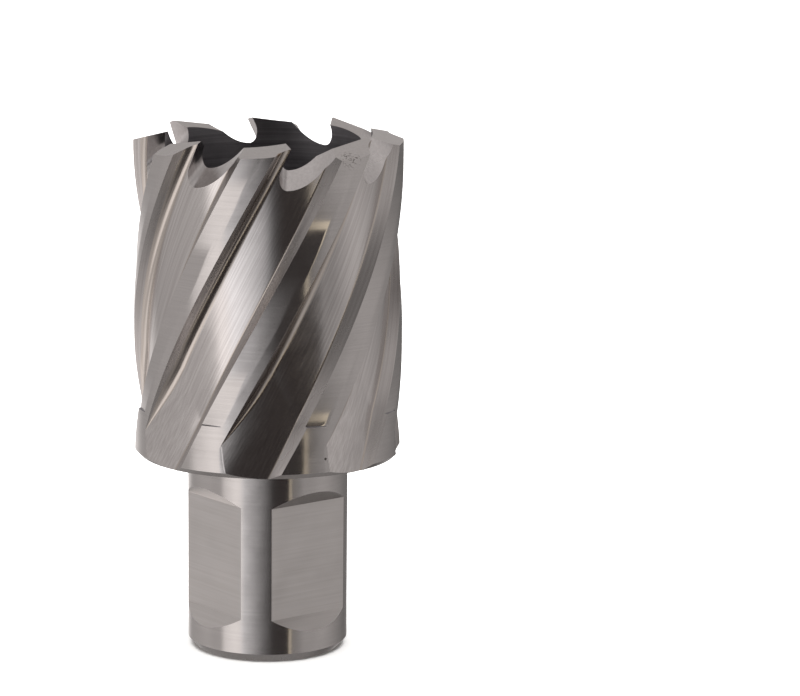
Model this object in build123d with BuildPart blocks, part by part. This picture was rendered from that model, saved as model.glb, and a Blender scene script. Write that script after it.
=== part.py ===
from build123d import *
import math
import os

os.makedirs("parts", exist_ok=True)

# Annular cutter for a magnetic drill, ground from one bar of high speed steel.
# Millimetres and degrees. It stands on its shank end: Z runs up its axis to the teeth.
# The origin is the centre of the shank end face. The front of the tool looks along -Y.

# Overall sizes
cutting_diameter = 31.75
body_length = 38.5
shank_diameter = 19.05
shank_length = 23.6
wall_thickness = 3.68
core_depth = 33.0
core_floor_chamfer = 1.0
pilot_bore_diameter = 6.5
pilot_lead_in = 0.6

# Edges of the shank end and of the collar
shank_chamfer = 1.0
collar_chamfer = 0.6

# Two flats for the set screws of the arbor, a quarter turn apart
flat_count = 2
flat_spacing = 90.0
flat_first_angle = -143.2
flat_depth = 1.625
flat_length = 13.5
flat_centre_height = 11.85
flat_ramp_angle = 45.0

# Helical flutes, cut right-handed, so a cutting edge climbs against the clock seen from above
tooth_count = 8
flute_lead = 178.7
flute_depth = 1.55
flute_start_angle = -162.6
land_angle = 13.0
rake_wall_angle = 3.2
trailing_wall_angle = 4.5

# Where each flute runs out, measured up from the shoulder of the shank
run_out_start = 10.4
run_out_end = 3.6
run_out_shape = 1.6
run_out_sweep = 7.0
run_out_rise = 1.45
run_out_trailing_rise = 0.95
run_out_trailing_shape = 3.0

# Cylindrical margin behind each cutting edge, and the lower relieved land behind that
margin_angle = 4.6
margin_step = 0.12
relief_fall = 0.18
relief_end_height = 6.0

# Teeth: where a tip lies ahead of the cutting edge, and the gullet in front of it
tip_lead_angle = 4.5
gullet_depth = 3.15
gullet_offset = 0.75
gullet_front_radius = 1.15
gullet_back_radius = 6.6
gullet_back_angle = 65.0
gullet_fall = 1.0
gullet_drift = -0.25

# End faces: every other tooth slopes outward only, the ones between have a ridge in the wall
plain_outward_slope = 0.21
plain_end_relief = 0.155
plain_tip_drop = 0.1
ridge_inset = 2.28
ridge_outward_slope = 0.43
ridge_end_relief = 0.265
ridge_inward_slope = 0.52
ridge_inward_relief = 0.04
end_space_ahead = 6.0
end_space_behind = 38.0

# How far a cutting body reaches past the metal that it removes
clear_of_metal = 1.6

# Values that follow from the sizes above
cutting_radius = cutting_diameter / 2
shank_radius = shank_diameter / 2
core_radius = cutting_radius - wall_thickness
floor_radius = cutting_radius - flute_depth
shoulder = shank_length
tip_height = shank_length + body_length
core_floor = tip_height - core_depth
tooth_pitch = 360 / tooth_count
twist_per_mm = 360 / flute_lead
run_out_top = shoulder + run_out_start
run_out_bottom = shoulder + run_out_end
relief_end = shoulder + relief_end_height


def polar(radius, angle):
    return Vector(radius * math.cos(math.radians(angle)), radius * math.sin(math.radians(angle)))


def cutting_edge_angle(height):
    return flute_start_angle + twist_per_mm * (height - shoulder)


def flute_corners(height):
    """Corners of a flute across the tool, before its turn with the helix."""
    edge = polar(cutting_radius, 0)
    foot = polar(floor_radius, rake_wall_angle)
    out_along_wall = (edge - foot).normalized() * clear_of_metal
    if height >= run_out_top:
        rise = 0
        trailing_rise = 0
    else:
        below_top = run_out_top - height
        rise = (below_top / (run_out_top - run_out_bottom)) ** run_out_shape
        trailing_rise = run_out_trailing_rise * (below_top / run_out_start) ** run_out_trailing_shape
    if height >= run_out_bottom:
        rake_foot = foot + (edge - foot) * rise
        rake_top = edge + out_along_wall
    else:
        past_end = (run_out_bottom - height) / run_out_end
        rake_foot = polar(cutting_radius + run_out_rise * past_end, run_out_sweep * past_end)
        rake_top = rake_foot + out_along_wall
    next_land = tooth_pitch - land_angle
    trailing_foot = polar(floor_radius + trailing_rise, next_land - trailing_wall_angle)
    land_corner = polar(cutting_radius, next_land)
    trailing_top = land_corner + (land_corner - trailing_foot).normalized() * clear_of_metal
    return [rake_top, rake_foot, trailing_foot, trailing_top]


def heights_between(low, high, steps):
    return [low + (high - low) * step / steps for step in range(steps + 1)]


# The space that one flute takes out of the blank above its run-out, down to a round core
with BuildPart() as flute_space:
    for height in heights_between(run_out_top, tip_height + clear_of_metal, 5):
        turn = cutting_edge_angle(height)
        corners = [corner.rotate(Axis.Z, turn) for corner in flute_corners(height)]
        rake_top, rake_foot, trailing_foot, trailing_top = corners
        below_rake = rake_foot + (rake_foot - rake_top).normalized() * clear_of_metal / 2
        below_trailing = trailing_foot + (trailing_foot - trailing_top).normalized() * clear_of_metal / 2
        with BuildSketch(Plane.XY.offset(height)):
            with BuildLine():
                Polyline(rake_top, below_rake, below_trailing, trailing_top, close=True)
            make_face()
    loft()
    with Locations((0, 0, run_out_top)):
        Cylinder(
            floor_radius,
            body_length,
            align=(Align.CENTER, Align.CENTER, Align.MIN),
            mode=Mode.SUBTRACT,
        )


def run_out_section(height):
    """Cross-section of a flute in its run-out, with the floor bowed as the round core above."""
    turn = cutting_edge_angle(height)
    corners = [corner.rotate(Axis.Z, turn) for corner in flute_corners(height)]
    rake_top, rake_foot, trailing_foot, trailing_top = corners
    half_floor = (tooth_pitch - land_angle - trailing_wall_angle - rake_wall_angle) / 2
    bow = floor_radius * (1 - math.cos(math.radians(half_floor)))
    middle = (rake_foot + trailing_foot) / 2
    with BuildSketch(Plane.XY.offset(height)) as section:
        with BuildLine():
            Line(rake_top, rake_foot)
            ThreePointArc(rake_foot, middle + middle.normalized() * bow, trailing_foot)
            Polyline(trailing_foot, trailing_top, rake_top)
        make_face()
    return section.sketch


# Its run-out: the floor climbs along the rake wall and leaves the collar, and its back part
# climbs a little towards the shoulder
with BuildPart() as run_out_space:
    for height in heights_between(run_out_bottom, run_out_top, 3):
        add(run_out_section(height))
    loft()
    for height in heights_between(shoulder - clear_of_metal / 2, run_out_bottom, 2):
        add(run_out_section(height))
    loft()

# The thin slice ground off each land behind its margin, down to a square step
with BuildPart() as relief_space:
    for height in heights_between(relief_end, tip_height + clear_of_metal, 6):
        turn = cutting_edge_angle(height)
        behind = land_angle + trailing_wall_angle / 2
        with BuildSketch(Plane.XY.offset(height)):
            with BuildLine():
                Polyline(
                    polar(cutting_radius - margin_step, turn - margin_angle),
                    polar(cutting_radius - margin_step - relief_fall, turn - behind),
                    polar(cutting_radius + clear_of_metal, turn - behind),
                    polar(cutting_radius + clear_of_metal, turn - margin_angle),
                    close=True,
                )
            make_face()
    loft()

# One gullet, drawn square to its path: a hooked front, a rounded bottom and a long curved back
first_tip_angle = cutting_edge_angle(tip_height) + tip_lead_angle
outward = polar(1, first_tip_angle)
ahead = polar(1, first_tip_angle + 90)
gullet_path = outward + ahead * gullet_drift - Vector(0, 0, gullet_fall)
gullet_origin = outward * core_radius + Vector(0, 0, tip_height) - gullet_path * wall_thickness
square_depth = gullet_depth * math.sqrt(1 - (gullet_fall / gullet_path.length) ** 2)
hook_centre = Vector(gullet_offset, gullet_front_radius - square_depth)
back_centre = Vector(gullet_offset, gullet_back_radius - square_depth)
hook_length = math.sqrt(hook_centre.length**2 - gullet_front_radius**2)
hook_turn = math.degrees(math.asin(gullet_front_radius / hook_centre.length))
hook_angle = math.degrees(math.atan2(hook_centre.Y, hook_centre.X)) - hook_turn
hook_start = polar(hook_length, hook_angle)
front_top = polar(-2 * wall_thickness - clear_of_metal, hook_angle)
with BuildPart() as gullet_space:
    with BuildSketch(Plane(origin=gullet_origin, x_dir=ahead, z_dir=gullet_path)):
        with BuildLine():
            Line(front_top, hook_start)
            CenterArc(hook_centre, gullet_front_radius, hook_angle + 270, -hook_angle)
            back = CenterArc(back_centre, gullet_back_radius, 270, gullet_back_angle)
            Polyline(back @ 1, ((back @ 1).X, front_top.Y), front_top)
        make_face()
    extrude(amount=(2 * wall_thickness + clear_of_metal) * gullet_path.length)


def end_plane(tip_angle, radius, height, outward_slope, relief_slope):
    """Plane of an end face through a point of the cutting edge."""
    away = polar(1, tip_angle)
    onward = polar(1, tip_angle + 90)
    normal = Vector(0, 0, 1) + away * outward_slope - onward * relief_slope
    return Plane(origin=away * radius + Vector(0, 0, height), z_dir=normal)


def end_space(tip_angle, plane):
    """What one tooth loses above an end face, from ahead of its tip to the gullet behind it."""
    with BuildPart() as space:
        with BuildSketch(Plane.XY.offset(tip_height - gullet_depth)):
            with BuildLine():
                Polyline(
                    polar(core_radius - clear_of_metal, tip_angle + end_space_ahead),
                    polar(cutting_radius + clear_of_metal, tip_angle + end_space_ahead),
                    polar(cutting_radius + clear_of_metal, tip_angle - end_space_behind),
                    polar(core_radius - clear_of_metal, tip_angle - end_space_behind),
                    close=True,
                )
            make_face()
        extrude(amount=gullet_depth + 2 * clear_of_metal)
        split(bisect_by=plane, keep=Keep.TOP)
    return space.part


plain_face = end_plane(
    first_tip_angle,
    core_radius,
    tip_height - plain_tip_drop,
    plain_outward_slope,
    plain_end_relief,
)
ridge_angle = first_tip_angle + tooth_pitch
ridge_radius = cutting_radius - ridge_inset
ridge_outer_face = end_plane(
    ridge_angle, ridge_radius, tip_height, ridge_outward_slope, ridge_end_relief
)
ridge_inner_face = end_plane(
    ridge_angle, ridge_radius, tip_height, -ridge_inward_slope, ridge_inward_relief
)
plain_end_space = end_space(first_tip_angle, plain_face)
ridge_outer_space = end_space(ridge_angle, ridge_outer_face)
ridge_inner_space = end_space(ridge_angle, ridge_inner_face)

# The turned blank: shank, collar and cup, with the pilot bore right through
pilot_radius = pilot_bore_diameter / 2
with BuildPart() as cutter:
    with BuildSketch(Plane.XZ):
        with BuildLine():
            Polyline(
                (pilot_radius, pilot_lead_in),
                (pilot_radius + pilot_lead_in, 0),
                (shank_radius - shank_chamfer, 0),
                (shank_radius, shank_chamfer),
                (shank_radius, shoulder),
                (cutting_radius - collar_chamfer, shoulder),
                (cutting_radius, shoulder + collar_chamfer),
                (cutting_radius, tip_height),
                (core_radius, tip_height),
                (core_radius, core_floor + core_floor_chamfer),
                (core_radius - core_floor_chamfer, core_floor),
                (pilot_radius, core_floor),
                close=True,
            )
        make_face()
    revolve(axis=Axis.Z)

    # Flats with ramped ends in the shank
    flat_bottom = flat_centre_height - flat_length / 2
    flat_top = flat_centre_height + flat_length / 2
    flat_reach = flat_depth + clear_of_metal
    flat_rise = flat_reach / math.tan(math.radians(flat_ramp_angle))
    for flat in range(flat_count):
        flat_angle = flat_first_angle + flat * flat_spacing
        across = Plane(
            origin=polar(shank_radius - flat_depth, flat_angle),
            x_dir=polar(1, flat_angle),
            z_dir=polar(1, flat_angle - 90),
        )
        with BuildSketch(across):
            with BuildLine():
                Polyline(
                    (0, flat_bottom),
                    (flat_reach, flat_bottom - flat_rise),
                    (flat_reach, flat_top + flat_rise),
                    (0, flat_top),
                    close=True,
                )
            make_face()
        extrude(amount=shank_radius, both=True, mode=Mode.SUBTRACT)

    # Flutes, relieved lands and gullets, one of each to a tooth
    with PolarLocations(0, tooth_count):
        add(flute_space.part, mode=Mode.SUBTRACT)
    with PolarLocations(0, tooth_count):
        add(run_out_space.part, mode=Mode.SUBTRACT)
    with PolarLocations(0, tooth_count):
        add(relief_space.part, mode=Mode.SUBTRACT)
    with PolarLocations(0, tooth_count):
        add(gullet_space.part, mode=Mode.SUBTRACT)

    # End faces, plain and ridged teeth by turns
    with PolarLocations(0, tooth_count // 2):
        add(plain_end_space, mode=Mode.SUBTRACT)
        add(ridge_outer_space, mode=Mode.SUBTRACT)
        add(ridge_inner_space, mode=Mode.SUBTRACT)

cutter.part.label = "cutter"
export_step(cutter.part, "parts/cutter.step")
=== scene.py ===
import math

import bpy
from mathutils import Matrix, Quaternion, Vector, geometry


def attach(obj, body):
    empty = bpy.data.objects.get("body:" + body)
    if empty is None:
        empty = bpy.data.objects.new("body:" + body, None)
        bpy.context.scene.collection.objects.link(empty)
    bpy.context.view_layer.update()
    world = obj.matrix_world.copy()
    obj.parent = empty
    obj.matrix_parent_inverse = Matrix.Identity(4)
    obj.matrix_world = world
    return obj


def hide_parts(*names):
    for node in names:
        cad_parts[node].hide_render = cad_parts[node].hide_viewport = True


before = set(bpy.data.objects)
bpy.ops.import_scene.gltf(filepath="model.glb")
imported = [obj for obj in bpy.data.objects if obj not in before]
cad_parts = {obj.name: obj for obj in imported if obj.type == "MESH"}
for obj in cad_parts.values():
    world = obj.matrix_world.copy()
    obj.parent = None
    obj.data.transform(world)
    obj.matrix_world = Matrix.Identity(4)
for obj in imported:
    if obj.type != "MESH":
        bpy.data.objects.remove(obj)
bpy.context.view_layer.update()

# Annular cutter, ground from one bar of high speed steel. Sizes in millimetres, angles in degrees.
# It is modelled in millimetres and brought to metres at the end. The camera stands at angle -90.
CUTTING_RADIUS = 15.875
SHANK_RADIUS = 9.525
CORE_RADIUS = 12.195
FLOOR_RADIUS = 14.325
PILOT_RADIUS = 3.25
SHOULDER = 23.6
TIP_HEIGHT = 62.1
CORE_FLOOR = 29.1
BLANK_TOP = 62.7  # the fluted blank, before its end faces are ground
SHANK_CHAMFER = 1.0
COLLAR_CHAMFER = 0.6
CUP_CHAMFER = 1.0
BORE_CHAMFER = 0.6

# Teeth round the tool, and the turn of their helix in degrees for each millimetre of height
TEETH = 8
PITCH = 360 / TEETH
TWIST = 360 / 178.7
START_ANGLE = -162.6  # a cutting edge at the shoulder

# Flute, land and margin across the tool, as angles from the cutting edge
LAND = 13.0
MARGIN = 4.6
RAKE_WALL = 3.2
TRAILING_WALL = 4.5
RAKE_FILLET = 0.8
TRAILING_FILLET = 0.15
FLOOR_BOW = 0.26

# The relief falls from the margin to the land's back, and ends low on the wall in a ledge
RELIEF_FALL = 0.28
RELIEF_END = 29.6
LEDGE = 0.1

# Run-out: under a slanted fold, the flute's floor climbs ever faster until it meets the collar
FOLD_TOP = 36.6
FOLD_END = 30.0
RUN_OUT_BOTTOM = 27.4
FOLD_SLOPE = 0.072
FOLD_CURVE = 0.0105

# Steps of the skin across each part of a tooth and its flute
LAND_STEPS, MARGIN_STEPS, WALL_STEPS = 6, 5, 3
ROOT_STEPS, FLOOR_STEPS, BACK_ROOT_STEPS = 6, 32, 5

# Gullets: a small hook, a long back, and a path that falls outwards and trails the tooth
GULLET_AHEAD = 4.5
GULLET_DEPTH = 3.15
GULLET_TRAIL = 0.25
HOOK_RADIUS = 1.15
BACK_RADIUS = 6.6
BACK_SWEEP = 65
CENTRES_AHEAD = 0.75

# End faces: the wedge of a tooth that is ground, ahead of its tip and behind it, and the ridge on the wall
END_AHEAD, END_BEHIND = 6, -38
RIDGE_INWARD = 2.28

# Two clamping flats, and how far every cutting shape reaches past the surface that it cuts
FLAT_ANGLES = (-143.2, -53.2)
FLAT_DEPTH = 1.625
FLAT_MIDDLE = 11.85
FLAT_HALF = 6.75
PAST = 1.6
WELD = 0.00001
SMOOTH_ANGLE = 24


def flat_polar(radius, angle):
    return Vector((radius * math.cos(math.radians(angle)), radius * math.sin(math.radians(angle))))


def polar(radius, angle, height=0.0):
    return flat_polar(radius, angle).to_3d() + Vector((0, 0, height))


def edge_angle(height):
    return START_ANGLE + TWIST * (height - SHOULDER)


def bend(first, corner, last, steps):
    """Points of a rounded corner between two sides."""
    shares = [step / steps for step in range(steps + 1)]
    return [first * (1 - s) ** 2 + corner * 2 * s * (1 - s) + last * s**2 for s in shares]


def straight(first, last, steps):
    return [first.lerp(last, step / steps) for step in range(steps + 1)]


def arc(radius, first, last, steps):
    return [flat_polar(radius, first + (last - first) * step / steps) for step in range(steps + 1)]


def last_share(holds):
    """How far along a way, from 0 to 1, a condition still holds."""
    low, high = 0.0, 1.0
    for halving in range(30):
        middle = (low + high) / 2
        low, high = (middle, high) if holds(middle) else (low, middle)
    return low


def tooth_outline(height, relieved):
    """One land and the flute ahead of it, as regions and points across the tool."""
    limit = min(CUTTING_RADIUS, CUTTING_RADIUS - COLLAR_CHAMFER + height - SHOULDER)
    edge = flat_polar(CUTTING_RADIUS, 0)

    def rise(share):
        below_fold = max(0, FOLD_TOP + (FOLD_END - FOLD_TOP) * share - height)
        return below_fold * (FOLD_SLOPE + FOLD_CURVE * below_fold)

    foot = flat_polar(FLOOR_RADIUS, RAKE_WALL).lerp(edge, rise(0) / (CUTTING_RADIUS - FLOOR_RADIUS))
    trailing_foot = flat_polar(FLOOR_RADIUS + rise(1), PITCH - LAND - TRAILING_WALL)
    corner = flat_polar(CUTTING_RADIUS, PITCH - LAND)
    outward = (foot + trailing_foot).normalized()
    length = (trailing_foot - foot).length

    def floor(share):
        level = rise(share) - rise(0) * (1 - share) - rise(1) * share
        return foot.lerp(trailing_foot, share) + outward * (FLOOR_BOW * 4 * share * (1 - share) + level)

    # Rake wall with its rounded foot, or the line where the run-out meets the collar
    if height < RUN_OUT_BOTTOM:
        start = last_share(lambda share: floor(share).length > limit)
        edge = floor(start)
        wall = [edge] * (WALL_STEPS + 1)
        root = [edge] * (ROOT_STEPS + 1)
    else:
        reach = min(RAKE_FILLET, 0.6 * (edge - foot).length)
        start = reach / length
        wall = straight(edge, foot + (edge - foot).normalized() * reach, WALL_STEPS)
        root = bend(wall[-1], foot, floor(start), ROOT_STEPS)
    end = 1 - TRAILING_FILLET / length
    bottom = [floor(start + (end - start) * step / FLOOR_STEPS) for step in range(FLOOR_STEPS + 1)]
    back_start = trailing_foot + (corner - trailing_foot).normalized() * TRAILING_FILLET
    back_root = bend(bottom[-1], trailing_foot, back_start, BACK_ROOT_STEPS)

    # Where the trailing wall meets the land, and the relief that is ground on the land
    relief_start = flat_polar(CUTTING_RADIUS, PITCH - MARGIN)
    relief_foot = flat_polar(CUTTING_RADIUS - RELIEF_FALL, PITCH - LAND - TRAILING_WALL / 2)
    past_foot = relief_start.lerp(relief_foot, 1.5)
    relief_top = geometry.intersect_line_line_2d(relief_start, past_foot, back_start, corner)
    full_top = back_start.lerp(corner, last_share(lambda share: back_start.lerp(corner, share).length < limit))
    back = straight(back_start, min(relief_top, full_top, key=lambda place: place.length), WALL_STEPS)
    land_top = relief_top if relieved else full_top
    land_start = math.degrees(math.atan2(land_top.y, land_top.x)) - PITCH
    edge_at = math.degrees(math.atan2(edge.y, edge.x))
    if relieved:
        unturn = Matrix.Rotation(math.radians(-PITCH), 2)
        land = [unturn @ place for place in straight(land_top, relief_start, LAND_STEPS)]
    else:
        land = arc(limit, land_start, -MARGIN, LAND_STEPS)

    parts = (
        ("land", land[1:]),
        ("margin", arc(limit, -MARGIN, edge_at, MARGIN_STEPS)[:-1]),
        ("rake", wall[:-1]),
        ("root", root[:-1]),
        ("floor", bottom[:-1]),
        ("root", back_root[:-1]),
        ("trailing", back),
        ("land", [land_top]),
    )
    return [(region, point) for region, points in parts for point in points]


def fluted_ring(height, relieved=True):
    outline = tooth_outline(height, relieved)
    ring = []
    for tooth in range(TEETH):
        turn = Matrix.Rotation(math.radians(edge_angle(height) + PITCH * tooth), 2)
        ring += [(turn @ point).to_3d() + Vector((0, 0, height)) for region, point in outline]
    return ring


regions = [region for region, point in tooth_outline(BLANK_TOP, True)] * TEETH
columns = len(regions)


def plain_ring(radius, height, start):
    return [polar(radius, start + 360 * column / columns, height) for column in range(columns)]


def heights(low, high, step):
    """Even heights from low to just below high, no further apart than the step."""
    count = math.ceil((high - low) / step - 0.001)
    return [low + (high - low) * index / count for index in range(count)]


# Rows of the skin in the order in which it passes them: shank, collar, flutes, cup and pilot bore.
# A row without a region of its own takes each column's region.
rows = []
for radius, height, region in (
    (SHANK_RADIUS - SHANK_CHAMFER, 0, "chamfer"),
    (SHANK_RADIUS, SHANK_CHAMFER, "shank"),
    (SHANK_RADIUS, 3.0, "shank"),
    (SHANK_RADIUS, 21.0, "shank"),
    (SHANK_RADIUS, SHOULDER, "shoulder"),
):
    rows.append((plain_ring(radius, height, START_ANGLE - LAND), region))
collar_edge = SHOULDER + COLLAR_CHAMFER
chamfer_heights = heights(SHOULDER, collar_edge, 0.2)
chamfer_rows = range(len(rows), len(rows) + len(chamfer_heights))
collar_heights = heights(collar_edge, RUN_OUT_BOTTOM, 0.3)
ledge_heights = heights(RUN_OUT_BOTTOM, RELIEF_END, 0.25) + [RELIEF_END]
for height in chamfer_heights + collar_heights + ledge_heights:
    rows.append((fluted_ring(height, relieved=False), None))
ledge_row = len(rows) - 1
fold_heights = heights(RELIEF_END + LEDGE, FOLD_TOP, 0.25)
for height in fold_heights + heights(FOLD_TOP, BLANK_TOP, 0.45):
    rows.append((fluted_ring(height), None))
rows.append((fluted_ring(BLANK_TOP), "top"))

# Inside, the plain rings start at the column that lies nearest after the flutes' turn
turned_columns = round((edge_angle(BLANK_TOP) - START_ANGLE) / (360 / columns))
inside_start = START_ANGLE - LAND + turned_columns * 360 / columns
for radius, height, region in (
    (CORE_RADIUS, BLANK_TOP, "cup"),
    (CORE_RADIUS, 55, "cup"),
    (CORE_RADIUS, CORE_FLOOR + CUP_CHAMFER, "cup"),
    (CORE_RADIUS - CUP_CHAMFER, CORE_FLOOR, "cup"),
    (PILOT_RADIUS, CORE_FLOOR, "bore"),
    (PILOT_RADIUS, BORE_CHAMFER, "bore"),
    (PILOT_RADIUS + BORE_CHAMFER, 0, "shank_end"),
    (SHANK_RADIUS - SHANK_CHAMFER, 0, None),
):
    rows.append((plain_ring(radius, height, inside_start), region))


def linear(level):
    return level / 12.92 if level <= 0.04045 else ((level + 0.055) / 1.055) ** 2.4


def srgb(code):
    """Colour of an sRGB hex value, turned to linear."""
    return [linear(int(code[place : place + 2], 16) / 255) for place in (1, 3, 5)] + [1]


def node(tree, kind, links={}, **settings):
    """Adds a node with its settings, and its values and links by socket."""
    made = tree.nodes.new(kind)
    for name, value in settings.items():
        setattr(made, name, value)
    for socket, value in links.items():
        if isinstance(value, bpy.types.NodeSocket):
            tree.links.new(value, made.inputs[socket])
        else:
            made.inputs[socket].default_value = value
    return made


# Wear, by place in millimetres: scratches on one tooth's outer edge, a burn at a tip, and specks.
# Each has a reach, and a dark brown or straw colour.
SCRATCHED, SCRATCH_REACH = (9.4, -12.4, 60.4), 1.5
BURNT, BURN_REACH = (1.4, -15.3, 61.0), 0.6
SPECKS, SPECK_REACH = ((6.6, -14.35, 25.8), (8.0, -13.6, 25.8), (8.7, -13.0, 54.5), (5.3, -7.3, 11.0)), 0.2
SCRATCH_COLOUR, BURN_COLOUR = "#5E5854", "#9A7A58"


def worn(tree, place, colour):
    """A steel colour with the wear over it."""
    uneven = node(tree, "ShaderNodeTexNoise", {"Vector": place, "Scale": 1.6, "Detail": 3}).outputs[0]

    def near(centre, reach):
        distance = node(tree, "ShaderNodeVectorMath", {0: place, 1: centre}, operation="DISTANCE")
        links = {0: uneven, 1: reach, 2: distance.outputs["Value"]}
        ragged = node(tree, "ShaderNodeMath", links, operation="MULTIPLY_ADD").outputs[0]
        links = {"Value": ragged, "From Min": reach * 1.5, "From Max": reach}
        return node(tree, "ShaderNodeMapRange", links).outputs[0]

    # The scratches follow the lines where the noise passes one level
    lines = node(tree, "ShaderNodeMath", {0: uneven, 1: 0.52, 2: 0.018}, operation="COMPARE").outputs[0]
    links = {0: lines, 1: near(SCRATCHED, SCRATCH_REACH)}
    marked = node(tree, "ShaderNodeMath", links, operation="MULTIPLY").outputs[0]
    for speck in SPECKS:
        links = {0: marked, 1: near(speck, SPECK_REACH)}
        marked = node(tree, "ShaderNodeMath", links, operation="MAXIMUM").outputs[0]
    for share, mark_colour in ((marked, SCRATCH_COLOUR), (near(BURNT, BURN_REACH), BURN_COLOUR)):
        links = {0: share, 6: colour, 7: srgb(mark_colour)}
        colour = node(tree, "ShaderNodeMix", links, data_type="RGBA").outputs[2]
    return colour


def ground_steel(name, light, dark, roughness, lines, spacing, stretch, depth, streak=0.0, streak_turn=0.0):
    """High speed steel with tool marks that run round, along the helix or straight up.

    Spacing, stretch times spacing, and depth are the marks' width, length and depth in millimetres.
    """
    material = bpy.data.materials.new(name)
    material.use_nodes = True
    tree = material.node_tree
    tree.nodes.clear()
    place = node(tree, "ShaderNodeTexCoord").outputs["Object"]
    in_mm = node(tree, "ShaderNodeVectorMath", {0: place, "Scale": 1000}, operation="SCALE").outputs[0]
    unturned = in_mm
    if lines == "helix":
        height = node(tree, "ShaderNodeSeparateXYZ", {0: in_mm}).outputs["Z"]
        turn = node(tree, "ShaderNodeMath", {0: height, 1: -math.radians(TWIST)}, operation="MULTIPLY")
        links = {"Vector": in_mm, "Angle": turn.outputs[0]}
        in_mm = node(tree, "ShaderNodeVectorRotate", links, rotation_type="Z_AXIS").outputs[0]
    across, along = 1 / spacing, 1 / (spacing * stretch)
    scale = (along, along, across) if lines == "round" else (across, across, along)
    mapped = node(tree, "ShaderNodeMapping", {"Vector": in_mm, "Scale": scale}).outputs[0]
    links = {"Vector": mapped, "Scale": 1, "Detail": 3, "Roughness": 0.6}
    marks = node(tree, "ShaderNodeTexNoise", links).outputs[0]
    broad = node(tree, "ShaderNodeTexNoise", {"Vector": in_mm, "Scale": 0.35, "Detail": 2}).outputs[0]
    links = {"Value": marks, "From Min": 0.3, "From Max": 0.7}
    blend = node(tree, "ShaderNodeMapRange", links).outputs[0]
    colour = node(tree, "ShaderNodeMix", {0: blend, 6: srgb(dark), 7: srgb(light)}, data_type="RGBA")
    links = {"Value": broad, "From Min": 0.3, "From Max": 0.7}
    links.update({"To Min": roughness * 0.85, "To Max": roughness * 1.15})
    gloss = node(tree, "ShaderNodeMapRange", links)
    bump = node(tree, "ShaderNodeBump", {"Height": marks, "Strength": 1, "Distance": depth / 1000})
    tangent = node(tree, "ShaderNodeTangent", direction_type="RADIAL", axis="Z")
    links = {
        "Base Color": worn(tree, unturned, colour.outputs[2]),
        "Metallic": 1,
        "Roughness": gloss.outputs[0],
        "Anisotropic": streak,
        "Anisotropic Rotation": streak_turn,
        "Normal": bump.outputs[0],
        "Tangent": tangent.outputs[0],
    }
    shader = node(tree, "ShaderNodeBsdfPrincipled", links)
    node(tree, "ShaderNodeOutputMaterial", {"Surface": shader.outputs[0]})
    return material


# All of it is one bare high speed steel, grey with a trace of warmth. How each face was made sets its gloss
# and which way its marks run. Real wheel marks are a few hundredths of a millimetre apart, too fine to show,
# so all marks are drawn 0.2 to 0.3 mm apart and very shallow.
ROUND_STREAK, HELIX_STREAK = 0.25, 0.425

# Shank, collar and margins, ground round: satin, with every highlight drawn out to an upright streak
cylinder_steel = ground_steel(
    "high_speed_steel_ground_round", "#D1CDCB", "#CAC6C4", 0.17, "round", 0.2, 60, 0.0002, 1.0, ROUND_STREAK
)
# Lands, relief-ground round: the same streak, a trace darker than the margin beside it
land_steel = ground_steel(
    "high_speed_steel_ground_land", "#D1CDCB", "#C9C5C3", 0.16, "round", 0.2, 60, 0.0002, 1.0, ROUND_STREAK
)
# Flute floors, milled along the helix: the brightest faces, with long lines that show one by one
flute_steel = ground_steel(
    "high_speed_steel_milled_flute", "#E2DEDC", "#CBC6C4", 0.15, "helix", 0.25, 60, 0.0008, 0.6, HELIX_STREAK
)
# Rake and trailing walls, cut by the side of the mill: duller, with soft edges to what they mirror
wall_steel = ground_steel(
    "high_speed_steel_milled_wall", "#CFCBC9", "#BDB8B6", 0.26, "helix", 0.25, 60, 0.0002
)
# Rounded foot of the rake wall: a thin bright or dark thread along the flute, a little warmer
root_steel = ground_steel(
    "high_speed_steel_milled_root", "#D3CBC4", "#C4BCB5", 0.2, "helix", 0.25, 60, 0.0003
)
# Gullets, ground with a formed wheel: pale and matt, with short marks across the wall
gullet_steel = ground_steel(
    "high_speed_steel_ground_gullet", "#DCD8D7", "#CDC9C8", 0.3, "straight", 0.3, 4, 0.0002
)
# End faces, chamfers and shank end, ground flat: even grey, almost without marks
end_steel = ground_steel(
    "high_speed_steel_ground_end", "#CFCBC9", "#C3BFBD", 0.3, "straight", 0.25, 4, 0.0002
)
# Clamping flats, milled with level strokes: matt, and one even tone from edge to edge
flat_steel = ground_steel(
    "high_speed_steel_milled_flat", "#DEDAD8", "#D6D2CF", 0.34, "round", 0.25, 60, 0.0003, 0.5, ROUND_STREAK
)
# Cup and bore, left as turned: dull, with dim rings. Their base colour is darker than the rest of the steel as
# painted shade in the recess, so the cup looks nearly black inside. The ledge takes it too, as a painted shadow
# line along the step.
turned_steel_painted_shade = ground_steel(
    "high_speed_steel_turned_painted_shade", "#A6A4A8", "#88868A", 0.4, "round", 0.3, 60, 0.001, 0.3, ROUND_STREAK
)

finish_of = {
    "chamfer": end_steel,
    "shank": cylinder_steel,
    "shoulder": cylinder_steel,
    "margin": cylinder_steel,
    "land": land_steel,
    # the ledge's darker turned finish is a painted shadow line along the step
    "ledge": turned_steel_painted_shade,
    "rake": wall_steel,
    "root": root_steel,
    "floor": flute_steel,
    "trailing": wall_steel,
    "top": end_steel,
    "cup": turned_steel_painted_shade,
    "bore": turned_steel_painted_shade,
    "shank_end": end_steel,
}
finishes = [
    cylinder_steel, land_steel, flute_steel, end_steel, flat_steel, turned_steel_painted_shade, wall_steel, root_steel, gullet_steel,
]

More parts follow.
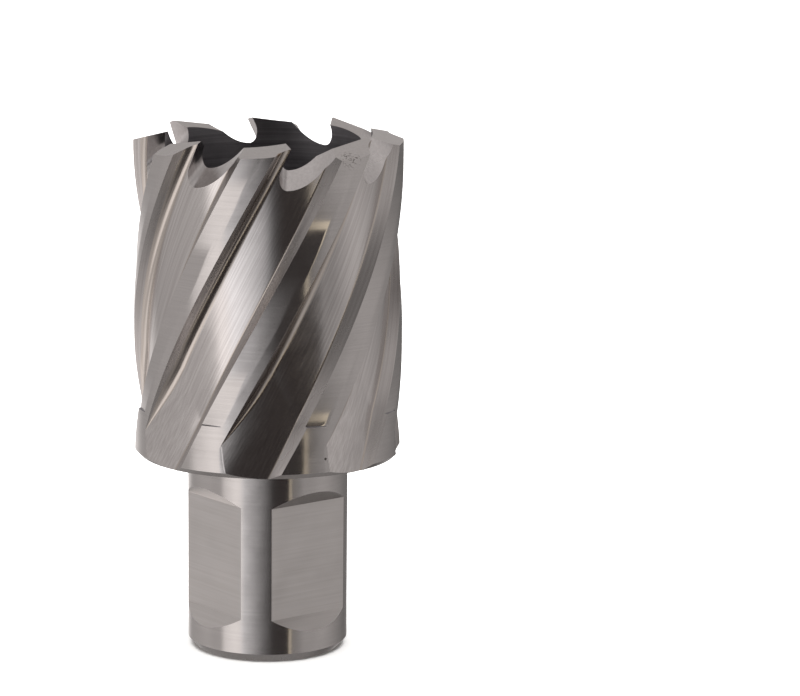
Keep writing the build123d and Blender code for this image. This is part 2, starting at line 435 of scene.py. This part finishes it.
# The skin: one grid wrapped round the tool and closed on itself
bpy.ops.object.select_all(action="DESELECT")
bpy.ops.mesh.primitive_grid_add(x_subdivisions=columns, y_subdivisions=len(rows) - 1)
cutter = bpy.context.object
cutter.name = "ground_cutter"
for finish in finishes:
    cutter.data.materials.append(finish)
for vertex in cutter.data.vertices:
    row, column = divmod(vertex.index, columns + 1)
    vertex.co = rows[row][0][column % columns]
for face in cutter.data.polygons:
    row, column = divmod(face.index, columns)
    region = rows[row][1] or regions[column]
    # The land's faces in the ledge row take the darker turned finish: a painted shadow line along the step
    if row == ledge_row and region == "land":
        region = "ledge"
    if row in chamfer_rows and region in ("land", "margin"):
        region = "chamfer"
    face.material_index = finishes.index(finish_of[region])
bpy.ops.object.mode_set(mode="EDIT")
bpy.ops.mesh.select_all(action="SELECT")
bpy.ops.mesh.remove_doubles(threshold=0.0005)
bpy.ops.mesh.normals_make_consistent(inside=False)
bpy.ops.object.mode_set(mode="OBJECT")


def prism(name, outline, along, finish):
    """A straight bar with the given outline, pulled along a vector."""
    bpy.ops.object.select_all(action="DESELECT")
    bpy.ops.mesh.primitive_circle_add(vertices=len(outline), fill_type="NGON")
    bar = bpy.context.object
    bar.name = name
    bar.data.materials.append(finish)
    for vertex, place in zip(bar.data.vertices, outline):
        vertex.co = place
    bpy.ops.object.mode_set(mode="EDIT")
    bpy.ops.mesh.select_all(action="SELECT")
    bpy.ops.mesh.extrude_region_move(TRANSFORM_OT_translate={"value": along})
    bpy.ops.mesh.select_all(action="SELECT")
    bpy.ops.mesh.normals_make_consistent(inside=False)
    bpy.ops.object.mode_set(mode="OBJECT")
    return bar


def repeated(bar, count):
    """Copies of a bar all round the tool, joined to it."""
    bpy.ops.object.select_all(action="DESELECT")
    for index in range(1, count):
        copy = bpy.data.objects.new(bar.name, bar.data.copy())
        bpy.context.collection.objects.link(copy)
        copy.data.transform(Matrix.Rotation(math.radians(360 * index / count), 4, "Z"))
        copy.select_set(True)
    bar.select_set(True)
    bpy.context.view_layer.objects.active = bar
    bpy.ops.object.join()
    return bar


def cut(piece, tool):
    """Takes a tool's space out of a piece, and leaves the tool's finish on the cut."""
    bpy.ops.object.select_all(action="DESELECT")
    bpy.context.view_layer.objects.active = piece
    modifier = piece.modifiers.new("cut", "BOOLEAN")
    modifier.operation = "DIFFERENCE"
    modifier.solver = "EXACT"
    modifier.material_mode = "TRANSFER"
    modifier.object = tool
    bpy.ops.object.modifier_apply(modifier="cut")
    bpy.data.objects.remove(tool)


# Gullets, drawn square to their path: a hooked front, a rounded bottom and a long curved back
tip_angle = edge_angle(TIP_HEIGHT) + GULLET_AHEAD
wall = CUTTING_RADIUS - CORE_RADIUS
outward, ahead = polar(1, tip_angle), polar(1, tip_angle + 90)
path = outward - ahead * GULLET_TRAIL - Vector((0, 0, 1))
gullet_origin = outward * CORE_RADIUS + Vector((0, 0, TIP_HEIGHT)) - path * wall
path_z = path.normalized()
path_x = (ahead - path_z * ahead.dot(path_z)).normalized()
path_y = path_z.cross(path_x)
square_depth = GULLET_DEPTH * math.sqrt(1 - (1 / path.length) ** 2)
hook_centre = Vector((CENTRES_AHEAD, HOOK_RADIUS - square_depth))
back_centre = Vector((CENTRES_AHEAD, BACK_RADIUS - square_depth))
hook_length = math.sqrt(hook_centre.length**2 - HOOK_RADIUS**2)
hook_lean = math.atan2(hook_centre.y, hook_centre.x) - math.asin(HOOK_RADIUS / hook_centre.length)
hook_angle = math.degrees(hook_lean)
path_length = 2 * wall + PAST
front_top = flat_polar(-path_length, hook_angle)
gullet = [front_top, flat_polar(hook_length, hook_angle)]
gullet += [hook_centre + point for point in arc(HOOK_RADIUS, hook_angle + 270, 270, 14)[1:]]
gullet += [back_centre + point for point in arc(BACK_RADIUS, 270, 270 + BACK_SWEEP, 22)[1:]]
gullet.append(Vector((gullet[-1].x, front_top.y)))
outline = [gullet_origin + path_x * point.x + path_y * point.y for point in gullet]
gullets = prism("gullet", outline, path_z * path_length * path.length, gullet_steel)
cut(cutter, repeated(gullets, TEETH))


def end_space(angle, radius, height, outward_slope, relief_slope):
    """What a tooth loses above an end face, cut by a plane through its edge."""
    corners = ((-PAST, END_AHEAD), (wall + PAST, END_AHEAD), (wall + PAST, END_BEHIND), (-PAST, END_BEHIND))
    sector = [polar(CORE_RADIUS + out, angle + turn, TIP_HEIGHT - GULLET_DEPTH) for out, turn in corners]
    space = prism("end_space", sector, Vector((0, 0, GULLET_DEPTH + 2 * PAST)), end_steel)
    bpy.ops.object.mode_set(mode="EDIT")
    bpy.ops.mesh.select_all(action="SELECT")
    normal = Vector((0, 0, 1)) + polar(1, angle) * outward_slope - polar(1, angle + 90) * relief_slope
    bpy.ops.mesh.bisect(
        plane_co=polar(radius, angle, height), plane_no=normal, use_fill=True, clear_inner=True, threshold=WELD
    )
    bpy.ops.mesh.select_all(action="SELECT")
    bpy.ops.mesh.normals_make_consistent(inside=False)
    bpy.ops.object.mode_set(mode="OBJECT")
    return space


# End faces: every other tooth slopes one way, and those between slope both ways from a ridge
# Each has an angle, radius and height of its edge, and its slopes outwards and behind the edge.
ridge_radius = CUTTING_RADIUS - RIDGE_INWARD
for facet in (
    (tip_angle, CORE_RADIUS, TIP_HEIGHT - 0.1, 0.21, 0.155),
    (tip_angle + PITCH, ridge_radius, TIP_HEIGHT, 0.43, 0.265),
    (tip_angle + PITCH, ridge_radius, TIP_HEIGHT, -0.52, 0.04),
):
    cut(cutter, repeated(end_space(*facet), TEETH // 2))

# The tips end at full height
bpy.ops.object.select_all(action="DESELECT")
bpy.context.view_layer.objects.active = cutter
cutter.select_set(True)
bpy.ops.object.mode_set(mode="EDIT")
bpy.ops.mesh.select_all(action="SELECT")
bpy.ops.mesh.bisect(
    plane_co=(0, 0, TIP_HEIGHT), plane_no=(0, 0, 1), use_fill=True, clear_outer=True, threshold=WELD
)
bpy.ops.object.mode_set(mode="OBJECT")

# Clamping flats, with ends that ramp out at 45 degrees
for flat_angle in FLAT_ANGLES:
    bottom, top, reach = FLAT_MIDDLE - FLAT_HALF, FLAT_MIDDLE + FLAT_HALF, FLAT_DEPTH + PAST
    profile = ((0, bottom), (reach, bottom - reach), (reach, top + reach), (0, top))
    side = polar(1, flat_angle - 90)
    start = polar(SHANK_RADIUS - FLAT_DEPTH, flat_angle) - side * SHANK_RADIUS
    outline = [start + polar(out, flat_angle) + Vector((0, 0, up)) for out, up in profile]
    cut(cutter, prism("flat", outline, side * 2 * SHANK_RADIUS, flat_steel))

bpy.ops.object.select_all(action="DESELECT")
cutter.select_set(True)
bpy.context.view_layer.objects.active = cutter
cutter.data.transform(Matrix.Scale(0.001, 4))
bpy.ops.object.shade_smooth_by_angle(angle=math.radians(SMOOTH_ANGLE))
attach(cutter, "root")
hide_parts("cutter")

# Floor of white paper, which the steel doesn't mirror
bpy.ops.object.select_all(action="DESELECT")
bpy.ops.mesh.primitive_circle_add(vertices=96, radius=4, fill_type="NGON")
floor_piece = bpy.context.object
floor_piece.name = "floor"
paper = bpy.data.materials.new("white_paper")
paper.use_nodes = True
paper_sockets = paper.node_tree.nodes["Principled BSDF"].inputs
paper_sockets["Base Color"].default_value = srgb("#F4F4F3")
paper_sockets["Roughness"].default_value = 0.9
paper_sockets["Specular IOR Level"].default_value = 0.1
floor_piece.data.materials.append(paper)
floor_piece.visible_glossy = False

# Soft light all round, as from a light tent of white and grey cloths with a gap for the camera. Bearings are
# in degrees: 0 is the camera, right is positive and 180 is the back. Levels are shares of full white.
GREY_TINT, WHITE_TINT, DARK_TINT = (1, 0.955, 0.94), (1, 0.985, 1), (1, 0.86, 0.83)
MIRRORED_RISE = -11  # where upright faces mirror the tent to the camera
GAP_SLANT, CLOTH_SLANT, GAP_SWING = 3.4, 3.6, 23
world = bpy.data.worlds.new("light_tent")
bpy.context.scene.world = world
world.use_nodes = True
tree = world.node_tree
tree.nodes.clear()


def tinted(level, tint):
    return [linear(level) * part for part in tint] + [1]


def cloth(bearing, stops, tint):
    """Light of the cloths along a bearing, from stops of bearing and level."""
    first, last = stops[0][0], stops[-1][0]
    links = {"Value": bearing, "From Min": first, "From Max": last}
    ramp = node(tree, "ShaderNodeValToRGB", {"Fac": node(tree, "ShaderNodeMapRange", links).outputs[0]})
    elements = ramp.color_ramp.elements
    while len(elements) < len(stops):
        elements.new(0.5)
    for element, (place, level) in zip(elements, stops):
        element.position = (place - first) / (last - first)
        element.color = tinted(level, DARK_TINT if level < 0.3 else tint)
    return ramp.outputs[0]


def laid(light, over, *borders):
    """Light with another laid over it inside all borders, each a measure, where it starts and is full."""
    share = 1
    for measure, start, full in borders:
        links = {"Value": measure, "From Min": start, "From Max": full}
        inside = node(tree, "ShaderNodeMapRange", links, interpolation_type="SMOOTHSTEP").outputs[0]
        share = node(tree, "ShaderNodeMath", {0: share, 1: inside}, operation="MULTIPLY").outputs[0]
    return node(tree, "ShaderNodeMix", {0: share, 6: light, 7: over}, data_type="RGBA").outputs[2]


# Bearing and rise of a direction, and how far it is off the level that upright faces mirror
direction = node(tree, "ShaderNodeTexCoord").outputs["Generated"]
axes = node(tree, "ShaderNodeSeparateXYZ", {0: direction}).outputs
to_camera = node(tree, "ShaderNodeMath", {0: axes["Y"], 1: -1}, operation="MULTIPLY").outputs[0]
turned = node(tree, "ShaderNodeMath", {0: axes["X"], 1: to_camera}, operation="ARCTAN2").outputs[0]
raised = node(tree, "ShaderNodeMath", {0: axes["Z"]}, operation="ARCSINE").outputs[0]
bearing = node(tree, "ShaderNodeMath", {0: turned}, operation="DEGREES").outputs[0]
rise = node(tree, "ShaderNodeMath", {0: raised}, operation="DEGREES").outputs[0]
turned_away = node(tree, "ShaderNodeMath", {0: bearing}, operation="ABSOLUTE").outputs[0]
above_level = node(tree, "ShaderNodeMath", {0: rise, 1: -MIRRORED_RISE}, operation="ADD").outputs[0]
off_level = node(tree, "ShaderNodeMath", {0: above_level}, operation="ABSOLUTE").outputs[0]

# The cloths hang slanted. Off that level the gap's left border moves on and on, and the others by GAP_SWING at most.
slant = {0: off_level, 1: GAP_SLANT, 2: bearing}
slanted = node(tree, "ShaderNodeMath", slant, operation="MULTIPLY_ADD").outputs[0]
slant = node(tree, "ShaderNodeMath", {0: off_level, 1: CLOTH_SLANT}, operation="MULTIPLY").outputs[0]
slant = node(tree, "ShaderNodeMath", {0: slant, 1: GAP_SWING}, operation="MINIMUM").outputs[0]
shifted = node(tree, "ShaderNodeMath", {0: bearing, 1: slant}, operation="ADD").outputs[0]

# White cloth at the left that ends at the camera's gap, and grey cloths from there round to the back.
# All levels are plain steps of 0.05, apart from the gap's own dark.
gap = cloth(slanted, ((-30, 0.9), (5, 0.6), (10, 0.3), (20, 0.18)), WHITE_TINT)
sides = cloth(
    shifted,
    (
        (-150, 0.75), (-130, 0.55), (-50, 0.6), (-43, 0.9),
        (55, 0.5), (75, 0.6), (100, 0.6), (165, 0.35), (180, 0.4), (195, 0.75),
    ),
    GREY_TINT,
)
above = cloth(
    bearing, ((-80, 0.6), (-50, 0.4), (5, 0.4), (30, 0.6), (50, 0.6), (80, 0.25), (110, 0.6)), GREY_TINT
)
below = cloth(
    bearing,
    ((-150, 0.6), (-135, 0.85), (-90, 0.8), (-60, 0.65), (40, 0.4), (55, 0.2), (150, 0.15), (180, 0.6)),
    GREY_TINT,
)
overhead, shade = tinted(0.65, GREY_TINT), tinted(0.45, GREY_TINT)
warm_edge = srgb("#D4C8B3")

# What is laid over the side cloths, in turn: the dark gap, a shaded cloth and a warm edge at its right, the
# cloths above, the cloths below, the dim roof, and the shade under the table
light = sides
for over, *borders in (
    (gap, (bearing, -42, -34), (shifted, 55.5, 53.5)),
    (shade, (off_level, 5, 1.5), (shifted, 53.5, 55.5), (bearing, 90, 62)),
    (warm_edge, (shifted, 53.5, 55), (shifted, 59, 57), (off_level, 3, 7)),
    (above, (rise, 12, 26)),
    (above, (rise, 4, 16), (bearing, -85, -105)),
    (above, (rise, 4, 16), (turned_away, 115, 140)),
    (below, (rise, -48, -57)),
    (below, (rise, -35, -50), (bearing, -12, -22)),
    (below, (rise, -18, -28), (bearing, -85, -105)),
    (below, (rise, -24, -33), (bearing, 35, 50)),
    (overhead, (rise, 45, 70)),
    (shade, (rise, -62, -74)),
    (shade, (rise, -24, -34), (bearing, -138, -150)),
    (shade, (rise, -46, -54), (bearing, -100, -120)),
    (shade, (rise, -45, -52), (bearing, 75, 100)),
):
    light = laid(light, over, *borders)
background = node(tree, "ShaderNodeBackground", {"Color": light, "Strength": 1.6})
node(tree, "ShaderNodeOutputWorld", {"Surface": background.outputs[0]})

# A broad lamp over the table whitens the paper and is kept out of the steel's reflections
lamp = bpy.data.lights.new("table_lamp", "AREA")
lamp.shape, lamp.size, lamp.energy = "DISK", 3, 130
table_lamp = bpy.data.objects.new("table_lamp", lamp)
bpy.context.scene.collection.objects.link(table_lamp)
table_lamp.location = (0, 0, 2)
table_lamp.visible_glossy = False

# Camera at the photograph's angle, which looks down by 11 degrees from 0.39 m in front
CAMERA_TILT = 11.025
CAMERA_ROLL = 0.0021
lens = bpy.data.cameras.new("camera")
lens.lens = 151.479
lens.sensor_width = 36
lens.shift_x = 0.16489
lens.clip_start, lens.clip_end = 0.02, 50
camera = bpy.data.objects.new("camera", lens)
bpy.context.scene.collection.objects.link(camera)
camera.location = (0, -0.3919, 0.11233)
camera.rotation_mode = "QUATERNION"
tilt = Quaternion((1, 0, 0), math.radians(90 - CAMERA_TILT))
camera.rotation_quaternion = tilt @ Quaternion((0, 0, 1), CAMERA_ROLL)
bpy.context.scene.camera = camera
bpy.context.scene.view_settings.view_transform = "Standard"
